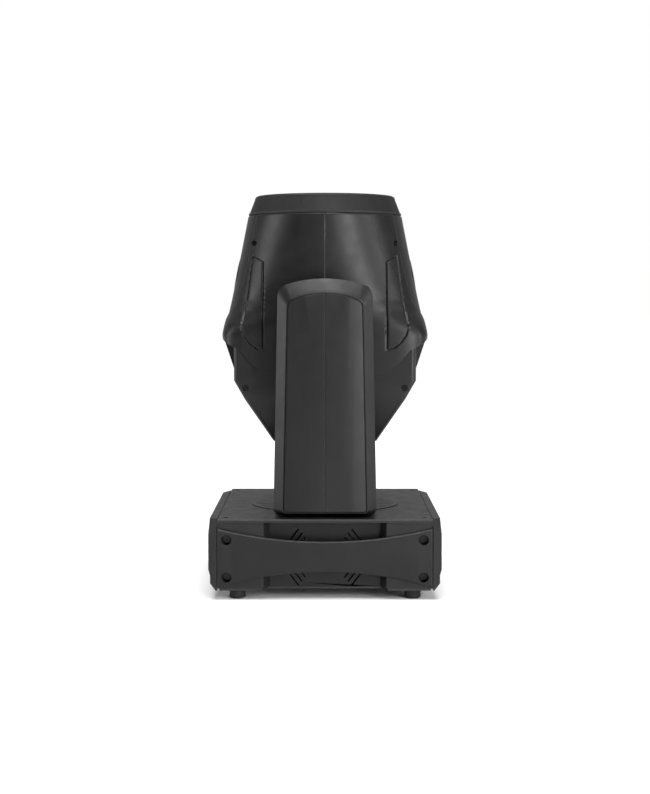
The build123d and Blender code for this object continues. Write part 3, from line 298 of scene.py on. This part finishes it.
def dress(name, material, bevel):
    """Keeps a CAD node, with its edges rounded by bevel and a better material."""
    obj = NODES[name]
    paint(obj, material)
    weld = obj.modifiers.new("weld", "WELD")
    weld.merge_threshold = WELD_DISTANCE
    if name in NEARLY_FLAT:
        flat = obj.modifiers.new("merge_flat_triangles", "DECIMATE")
        flat.decimate_type = "DISSOLVE"
        flat.angle_limit = math.radians(MERGE_DEGREES)
    if bevel:
        edge = obj.modifiers.new("edge", "BEVEL")
        edge.limit_method = "ANGLE"
        edge.angle_limit = math.radians(EDGE_DEGREES)
        edge.width = bevel
        edge.segments = EDGE_SEGMENTS
        edge.use_clamp_overlap = True
    even = obj.modifiers.new("normals", "WEIGHTED_NORMAL")
    even.keep_sharp = False
    even.weight = NORMAL_WEIGHT


# ------------------------------------------------------------------ head covers
BEZEL_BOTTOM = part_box("bezel")[0].z
WALL = 3.0 * MM
# height, half width in Y, half width in X, squareness of the section
COVER_PROFILE = np.array((
    (474.0, 100.1, 99.0, 2.00),
    (444.0, 106.6, 98.7, 2.10),
    (417.0, 111.6, 98.3, 2.25),
    (390.0, 116.9, 97.9, 2.50),
    (365.0, 122.2, 97.5, 2.90),
    (349.0, 124.6, 97.1, 3.70),
    (339.0, 127.9, 96.9, 5.00),
    (322.0, 130.6, 96.8, 9.00),
    (300.0, 128.8, 96.8, 10.0),
    (262.0, 124.0, 96.8, 10.0),
))
PROFILE_ROUNDING = 6
# lower edge of a cover: Y, height
COVER_EDGE = np.array(((0, 268), (45, 269), (74, 274), (91, 284), (106, 302), (124, 311), (133.5, 320.5)))
# flat panel down the middle of a cover: height, Y of its face, and height, half width in X
SPINE_LINE = np.array(((474, 99.3), (365, 120.7), (341, 125.5)))
SPINE_WIDTH = np.array(((340, 61), (365, 60), (460, 50)))
SPINE_SOFT = 1.0
SPINE_FOOT = (341.0, 349.0)
SPINE_TUCK = 16
SPINE_TUCK_TOP = 362
SPINE_TUCK_RUN = 15
# two borders of a trim blade: height, Y
BLADE_INNER = np.array(((303.5, 77.5), (413, 78.0), (420, 91.0)))
BLADE_OUTER = np.array((
    (303.5, 78.5), (305, 86.0), (311, 94.5), (321, 101.5), (331, 104.6), (368, 97.5), (420, 91.2),
))
BLADE_FOOT = 303.9
BLADE_TOP = 419.6
BLADE_GAP = 0.5
BLADE_LEAST_WIDTH = 0.4
BLADE_CROWN = 0.9
BLADE_CROWN_RUN = 1.2
BLADE_SINK = 0.5
BLADE_BACK = 1.5
BLADE_SHARP_DEGREES = 40.0
BLADE_ROWS = 70
BLADE_COLUMNS = 16
# pocket of a trim blade
POCKET_DEPTH = 1.6
POCKET_MARGIN = 1.3
POCKET_OVERLAP = 0.1
POCKET_FOOT = (301.8, 303.4)
POCKET_TOP = (420.5, 422.0)
# groove along the seam at Y = 0, and the step under the lens rim
SEAM_DEPTH = 0.5
SEAM_SPAN = (0.2, 0.9)
NECK_DEPTH = 0.9
NECK_SPAN = (0.4, 1.8)
# points of one quarter of the head; the first columns lie close together at the seam
COVER_ROWS = 150
COVER_COLUMNS = 120
QUARTER_RUN = 165.0
SEAM_COLUMNS = np.array([0.02, 0.4, 0.8, 1.3, 2.2])
FIRST_EVEN_COLUMN = 4.0
RIM_GAP = 0.25
# the search for the height of the lower edge: where it starts, and its rounds
EDGE_START = 290.0
EDGE_ROUNDS = 60


def smooth_profile():
    """Cover profile sampled every millimetre and rounded off."""
    z = np.arange(250.0, 480.0)
    table = COVER_PROFILE[::-1]
    columns = [np.interp(z, table[:, 0], table[:, k]) for k in (1, 2, 3)]
    kernel = np.hanning(2 * PROFILE_ROUNDING + 1)
    kernel /= kernel.sum()
    padded = [np.pad(c, PROFILE_ROUNDING, mode="reflect", reflect_type="odd") for c in columns]
    return z, [np.convolve(c, kernel, mode="valid") for c in padded]


PROFILE_Z, PROFILE = smooth_profile()


def cover_at(z_mm):
    """Half width in Y, half width in X and squareness at a height."""
    return [np.interp(z_mm, PROFILE_Z, column) for column in PROFILE]


def rise(value, low, high):
    """Smooth step from 0 at low to 1 at high."""
    t = np.clip((value - low) / (high - low), 0, 1)
    return t * t * (3 - 2 * t)


def section_point(fraction, z_mm):
    """Point on the rounded section at height z, by its share of the quarter's length."""
    half_y, half_x, power = cover_at(z_mm)
    turn = np.linspace(0, np.pi / 2, 500)
    x = half_x * np.cos(turn) ** (2 / power)
    y = half_y * np.sin(turn) ** (2 / power)
    run = np.concatenate(([0], np.cumsum(np.hypot(np.diff(x), np.diff(y)))))
    run /= run[-1]
    return np.interp(fraction, run, x), np.interp(fraction, run, y)


def spine_depth(x, y, z):
    """How far the flat spine panel lies below the flared shoulder, in mm."""
    half_y = cover_at(z)[0]
    line = np.interp(z, SPINE_LINE[::-1, 0], SPINE_LINE[::-1, 1])
    tuck = SPINE_TUCK * np.clip((SPINE_TUCK_TOP - z) / SPINE_TUCK_RUN, 0, 1) ** 2
    half_width = np.interp(z, SPINE_WIDTH[:, 0], SPINE_WIDTH[:, 1]) - tuck
    inside = 1 - rise(np.abs(x), half_width - SPINE_SOFT, half_width + SPINE_SOFT)
    return (half_y - line) * inside * rise(z, *SPINE_FOOT) * (y > 60)


def blade_span(z):
    """Y of the blade's two borders at height z, in mm."""
    inner = np.interp(z, BLADE_INNER[:, 0], BLADE_INNER[:, 1])
    outer = np.interp(z, BLADE_OUTER[:, 0], BLADE_OUTER[:, 1])
    return inner, outer


def blade_pocket(y, z):
    """Depth of the pocket that each trim blade sits in, in mm."""
    inner, outer = blade_span(z)
    near = rise(y, inner - POCKET_MARGIN, inner + POCKET_OVERLAP)
    far = 1 - rise(y, outer - POCKET_OVERLAP, outer + POCKET_MARGIN)
    across = np.minimum(near, far)
    along = rise(z, *POCKET_FOOT) * (1 - rise(z, *POCKET_TOP))
    return POCKET_DEPTH * across * along


def seam_depth(y):
    return SEAM_DEPTH * (1 - rise(y, *SEAM_SPAN))


def cover_grid(rows, columns):
    """Outer surface of one quarter, as an array of points in mm."""
    even = np.linspace(FIRST_EVEN_COLUMN / QUARTER_RUN, 1.0, columns - len(SEAM_COLUMNS))
    shares = np.concatenate((SEAM_COLUMNS / QUARTER_RUN, even))
    levels = np.linspace(250, 479, 230)
    spread_x = np.zeros((len(levels), columns))
    spread_y = np.zeros((len(levels), columns))
    for k, level in enumerate(levels):
        spread_x[k], spread_y[k] = section_point(shares, level)
    low = np.full(columns, EDGE_START)
    for _ in range(EDGE_ROUNDS):
        y_here = np.array([np.interp(low[c], levels, spread_y[:, c]) for c in range(columns)])
        low = 0.5 * low + 0.5 * np.interp(y_here, COVER_EDGE[:, 0], COVER_EDGE[:, 1])
    top = BEZEL_BOTTOM / MM - RIM_GAP
    v = np.linspace(0, 1, rows)
    points = np.zeros((rows, columns, 3))
    for c in range(columns):
        z = low[c] + (top - low[c]) * v
        points[:, c, 0] = np.interp(z, levels, spread_x[:, c])
        points[:, c, 1] = np.interp(z, levels, spread_y[:, c])
        points[:, c, 2] = z
    return points


def push(points, depth):
    """Moves a grid of points inwards along its own normals."""
    along = np.gradient(points, axis=0)
    across = np.gradient(points, axis=1)
    normal = np.cross(across, along)
    normal /= np.linalg.norm(normal, axis=2, keepdims=True)
    return points - normal * depth[..., None]


CUTTER_SIDES = 40


def cylinder_cutter(radius, centre, direction, length):
    bpy.ops.mesh.primitive_cylinder_add(vertices=CUTTER_SIDES, radius=radius, depth=length, location=centre)
    cutter = bpy.context.object
    cutter.rotation_mode = "QUATERNION"
    cutter.rotation_quaternion = Vector(direction).to_track_quat("Z", "Y")
    bpy.context.view_layer.update()
    return cutter


def cut(obj, cutters):
    """Takes each cutter out of the object, and removes the cutter."""
    for cutter in cutters:
        tool = obj.modifiers.new("cut", "BOOLEAN")
        tool.operation = "DIFFERENCE"
        tool.solver = "MANIFOLD"
        tool.object = cutter
        bake_modifiers(obj)
        bpy.data.objects.remove(cutter)


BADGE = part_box("vent_badges")
BADGE_Z = (BADGE[0].z + BADGE[1].z) / 2
BADGE_FLANGE = 2 * MM
BADGE_RADIUS = (BADGE[1].x - BADGE[0].x) / 2 - BADGE_FLANGE
BADGE_LEAN = math.radians(10.8)
BADGE_INSET = 4 * MM
BADGE_CUT = 40 * MM
TILT_Z = (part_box("trunnions")[0].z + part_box("trunnions")[1].z) / 2
TRUNNION_HOLE_RADIUS = 29.2 * MM
TRUNNION_CUT = 0.3
COVER_SCREW_X = 75 * MM
COVER_SCREW_Y = 90 * MM
COVER_SCREW_Z = 437 * MM
SCREW_HOLE_RADIUS = 3.5 * MM
SCREW_CUT = 0.06


def head_cover(sign):
    """One half of the head shell, +Y for sign 1, with all its moulded detail."""
    quarter = cover_grid(COVER_ROWS, COVER_COLUMNS)
    x, y, z = quarter[..., 0], quarter[..., 1], quarter[..., 2]
    depth = spine_depth(x, y, z) + blade_pocket(y, z) + seam_depth(y)
    depth += NECK_DEPTH * (1 - rise(BEZEL_BOTTOM / MM - z, *NECK_SPAN))
    quarter = push(quarter, depth)
    other = quarter[:, -2::-1].copy()
    other[..., 0] *= -1
    full = np.concatenate((quarter, other), axis=1)
    full[..., 1] *= sign
    rows, columns = full.shape[:2]
    faces = grid_faces(rows, columns)
    if sign < 0:
        faces = [f[::-1] for f in faces]
    end = "rear" if sign > 0 else "front"
    shell = finish_mesh(f"cover_shell_{end}", full.reshape(-1, 3) * MM, faces, SHELL)
    wall = shell.modifiers.new("wall", "SOLIDIFY")
    wall.thickness = WALL
    wall.offset = -1.0
    wall.use_even_offset = False
    bake_modifiers(shell)
    cutters = [cylinder_cutter(TRUNNION_HOLE_RADIUS, (0, 0, TILT_Z), (1, 0, 0), TRUNNION_CUT)]
    badge_axis = (0, sign * math.cos(BADGE_LEAN), math.sin(BADGE_LEAN))
    badge_place = (0, sign * (BADGE[1].y - BADGE_INSET), BADGE_Z)
    cutters.append(cylinder_cutter(BADGE_RADIUS, badge_place, badge_axis, BADGE_CUT))
    for side in (-1, 1):
        screw_place = (side * COVER_SCREW_X, sign * COVER_SCREW_Y, COVER_SCREW_Z)
        cutters.append(cylinder_cutter(SCREW_HOLE_RADIUS, screw_place, (1, 0, 0), SCREW_CUT))
    cut(shell, cutters)
    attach(shell, "head")
    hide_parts(f"head_cover_{end}")


def cover_surface(y, z):
    """X of the cover's shoulder at (y, z), in mm."""
    half_y, half_x, power = cover_at(z)
    inside = np.clip(1 - (np.abs(y) / half_y) ** power, 0, 1)
    return half_x * inside ** (1 / power)


def blade(sign_x, sign_y):
    """One trim blade that follows the shoulder, with a rounded edge all round."""
    rows = BLADE_ROWS
    columns = BLADE_COLUMNS
    z = BLADE_FOOT + (BLADE_TOP - BLADE_FOOT) * 0.5 * (1 - np.cos(np.linspace(0, np.pi, rows)))
    inner, outer = blade_span(z)
    inner = inner + BLADE_GAP
    outer = np.maximum(outer - BLADE_GAP, inner + BLADE_LEAST_WIDTH)
    t = 0.5 * (1 - np.cos(np.linspace(0, np.pi, columns)))
    y = inner[:, None] + (outer - inner)[:, None] * t[None, :]
    zz = np.repeat(z[:, None], columns, axis=1)
    points = np.stack((cover_surface(y, zz), y, zz), axis=2)
    edge = np.minimum(t, 1 - t)[None, :] * (outer - inner)[:, None]
    end = np.minimum(z - z[0], z[-1] - z)[:, None]
    near = np.minimum(edge, end)
    crown = BLADE_CROWN * np.sqrt(np.clip(near / BLADE_CROWN_RUN, 0, 1))
    top = push(points, -(crown - BLADE_SINK))
    bottom = push(points, np.full(points.shape[:2], BLADE_BACK))
    count = rows * columns
    verts = np.concatenate((top.reshape(-1, 3), bottom.reshape(-1, 3))) * MM
    faces = grid_faces(rows, columns)
    faces += [tuple(count + i for i in f[::-1]) for f in grid_faces(rows, columns)]
    border = list(range(columns)) + [r * columns + columns - 1 for r in range(1, rows)]
    border += [(rows - 1) * columns + c for c in range(columns - 2, -1, -1)]
    border += [r * columns for r in range(rows - 2, 0, -1)]
    for a, b in zip(border, border[1:] + border[:1]):
        faces.append((b, a, count + a, count + b))
    verts[:, 0] *= sign_x
    verts[:, 1] *= sign_y
    if sign_x * sign_y < 0:
        faces = [f[::-1] for f in faces]
    side_x = "right" if sign_x > 0 else "left"
    side_y = "rear" if sign_y > 0 else "front"
    obj = finish_mesh(f"trim_blade_{side_x}_{side_y}", verts, faces, SHELL, BLADE_SHARP_DEGREES)
    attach(obj, "head")
    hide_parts("side_blades")


for sign in (-1, 1):
    head_cover(sign)
    for side in (-1, 1):
        blade(side, sign)


# ------------------------------------------------------------------ lens rim
# stepped foot of the rim, in mm: inwards from its radius, up from its base
RIM_FOOT = ((0.9, 0.0), (0.0, 0.5), (0.1, 2.6), (1.4, 3.2))
# end of its cone, in mm: inwards from its radius, down from its top
RIM_CONE_END = (7.9, 5.0)
RIM_DRAW_IN = 8 * MM
RIM_ROLL = 4.8 * MM
RIM_ROLL_STEPS = 6
# its bore, in mm: radius, down from its top
RIM_BORE = ((80.5, 0.0), (79.0, 0.7), (77.2, 4), (77.0, 8), (80, 8))
RIM_SEAT_RADIUS = 80 * MM
RIM_SEGMENTS = 192


def lens_rim():
    """Round rim with a rolled top edge and a stepped foot."""
    low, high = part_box("bezel")
    radius = high.x
    top = high.z
    base = low.z
    profile = [(radius - inwards * MM, base + up * MM) for inwards, up in RIM_FOOT]
    profile.append((radius - RIM_CONE_END[0] * MM, top - RIM_CONE_END[1] * MM))
    for n in range(RIM_ROLL_STEPS + 1):
        turn = math.radians(90 / RIM_ROLL_STEPS * n)
        across = radius - RIM_ROLL - RIM_DRAW_IN + RIM_ROLL * math.cos(turn)
        profile.append((across, top - RIM_ROLL + RIM_ROLL * math.sin(turn)))
    profile += [(bore * MM, top - down * MM) for bore, down in RIM_BORE]
    profile.append((RIM_SEAT_RADIUS, base))
    rim = lathe("lens_rim", profile, RIM_SEGMENTS, RIM)
    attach(rim, "head")
    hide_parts("bezel")


lens_rim()


# ------------------------------------------------------------------ CAD nodes that stay
# material, width of the rounded edges in mm, nodes
FINISHES = (
    (SHELL, 0.8, ("rear_housing", "yoke_cover", "arm_shell_right", "arm_shell_left")),
    (SHELL, 0.6, ("arm_inner_right", "arm_inner_left", "arm_panel_right_front", "arm_panel_right_rear")),
    (SHELL, 0.6, ("arm_panel_left_front", "arm_panel_left_rear", "vent_badges", "rear_grille")),
    (BASE, 0.6, ("base_top", "pan_disc", "side_panel_right", "side_panel_left")),
    (BASE, 0.5, ("handle_right", "handle_left", "panel_front", "panel_rear")),
    (RUBBER, 0.6, ("rubber_feet",)),
    (BUTTON, 0.4, tuple(f"menu_button_{n}" for n in range(1, 5))),
    (SOCKET_BLUE, 0.3, ("power_sockets",)),
    (SOCKET_BLACK, 0.3, ("signal_sockets",)),
    (SWITCH, 0.5, ("power_switch",)),
    (SCREEN, 0.3, ("display_window",)),
    # screws darkened as painted shade for their deep recesses
    (SCREW_DARKENED_AS_SHADE, 0.2, ("base_screws", "head_screws")),
    (PAINTED, 0.5, ("base_tray", "bearing_plate", "yoke_frame", "pan_motor", "tilt_motor", "head_chassis")),
    (BRIGHT, 0.3, ("pan_bearing", "tilt_bearings", "trunnions")),
    (ALUMINIUM, 0.3, ("power_supply", "pan_hub", "heat_sink", "focus_carriage", "gobo_wheel")),
    (ALUMINIUM, 0.0, ("pan_pinion", "tilt_pinion", "tilt_pulley")),
    (FILTERS, 0.2, ("colour_wheel",)),
    (CIRCUIT, 0.2, ("main_board",)),
    (BELT, 0.0, ("pan_belt", "tilt_belt")),
    (LAMP, 0.3, ("led_module",)),
    (SWITCH, 0.2, ("fan_rotor",)),
    (GLASS, 0.2, ("front_lens", "prism_arm")),
)
for material, bevel, names in FINISHES:
    for name in names:
        dress(name, material, bevel * MM)


# ------------------------------------------------------------------ floor, light, camera
FLOOR_HALF = 30.0
FLOOR_GLOW = 0.88
# distances from the middle where the glow starts and where it is full
GLOW_START = 0.5
GLOW_FULL = 2.2


def floor():
    """Pale floor whose far part glows softly, as a lit paper sweep does."""
    material, nodes, links, shader = new_material("floor_paper")
    cloud = object_noise(nodes, links, 1.2, 2.0)
    tone = two_shades(nodes, links, cloud.outputs["Fac"], (0.79, 0.79, 0.79), (0.81, 0.81, 0.81))
    links.new(tone, shader.inputs["Base Color"])
    shader.inputs["Roughness"].default_value = 0.9
    shader.inputs["Specular IOR Level"].default_value = 0.0
    where = nodes.new("ShaderNodeTexCoord")
    length = nodes.new("ShaderNodeVectorMath")
    length.operation = "LENGTH"
    links.new(where.outputs["Object"], length.inputs[0])
    glow = spread(nodes, links, length.outputs["Value"], 0.0, FLOOR_GLOW, GLOW_START, GLOW_FULL)
    shader.inputs["Emission Color"].default_value = (1, 1, 1, 1)
    links.new(glow, shader.inputs["Emission Strength"])
    half = FLOOR_HALF
    verts = [(-half, -half, 0), (half, -half, 0), (half, half, 0), (-half, half, 0)]
    obj = finish_mesh("studio_floor", verts, [(0, 1, 2, 3)], material)


def softbox(name, place, aim, width, height, power):
    """Rectangular lamp turned towards aim; metres and watts."""
    light = bpy.data.lights.new(name, "AREA")
    light.shape = "RECTANGLE"
    light.size = width
    light.size_y = height
    light.energy = power
    obj = bpy.data.objects.new(name, light)
    bpy.context.scene.collection.objects.link(obj)
    obj.location = place
    obj.rotation_euler = (Vector(aim) - Vector(place)).to_track_quat("-Z", "Y").to_euler()


def studio_world():
    """White behind the object as the camera sees it, and a dim room that brightens towards the back."""
    world = bpy.data.worlds.new("studio")
    world.use_nodes = True
    nodes, links = world.node_tree.nodes, world.node_tree.links
    room = nodes["Background"]
    where = nodes.new("ShaderNodeTexCoord")
    split = nodes.new("ShaderNodeSeparateXYZ")
    ramp = nodes.new("ShaderNodeValToRGB")
    ramp.color_ramp.elements[0].position = 0.0
    ramp.color_ramp.elements[0].color = (0.50, 0.50, 0.50, 1)
    ramp.color_ramp.elements[1].position = 0.9
    ramp.color_ramp.elements[1].color = (0.02, 0.02, 0.02, 1)
    middle = ramp.color_ramp.elements.new(0.45)
    middle.color = (0.16, 0.16, 0.16, 1)
    links.new(where.outputs["Generated"], split.inputs["Vector"])
    depth = nodes.new("ShaderNodeMapRange")
    depth.inputs["From Min"].default_value = -1.0
    links.new(split.outputs["X"], depth.inputs["Value"])
    links.new(depth.outputs["Result"], ramp.inputs["Fac"])
    links.new(ramp.outputs["Color"], room.inputs["Color"])
    white = nodes.new("ShaderNodeBackground")
    white.inputs["Color"].default_value = (1, 1, 1, 1)
    ray = nodes.new("ShaderNodeLightPath")
    mix = nodes.new("ShaderNodeMixShader")
    links.new(ray.outputs["Is Camera Ray"], mix.inputs["Fac"])
    links.new(room.outputs["Background"], mix.inputs[1])
    links.new(white.outputs["Background"], mix.inputs[2])
    links.new(mix.outputs["Shader"], nodes["World Output"].inputs["Surface"])
    bpy.context.scene.world = world


CAMERA_PLACE = (2.21, 0.0, 0.369)
CAMERA_LENS = 76.7
CAMERA_SENSOR = 36.0
CAMERA_DIP = 3.384
FAR_END = 50.0


def camera():
    """Stands on the +X side and looks back along the tilt axis, tipped slightly down."""
    data = bpy.data.cameras.new("camera")
    data.sensor_width = CAMERA_SENSOR
    data.lens = CAMERA_LENS
    data.clip_end = FAR_END
    obj = bpy.data.objects.new("camera", data)
    bpy.context.scene.collection.objects.link(obj)
    obj.location = CAMERA_PLACE
    obj.rotation_euler = (math.radians(90 - CAMERA_DIP), 0, math.radians(90))
    bpy.context.scene.camera = obj


# name, place, aim, width, height, power
SOFTBOXES = (
    ("key_right", (1.85, 1.05, 0.6), (0.1, 0, 0.27), 0.5, 1.3, 38),
    ("side_right", (0.9, 1.9, 0.8), (0, 0, 0.35), 0.5, 1.5, 20),
    ("key_left", (0.5, -2.1, 0.9), (0, 0, 0.35), 0.8, 1.6, 28),
    ("top", (0.0, 0.0, 2.4), (0, 0, 0.2), 1.8, 1.8, 62),
    ("top_front", (1.15, 0.0, 1.95), (0.1, 0, 0.38), 0.9, 0.35, 24),
)

floor()
studio_world()
for row in SOFTBOXES:
    softbox(*row)
bpy.context.scene.view_settings.view_transform = "Standard"
camera()
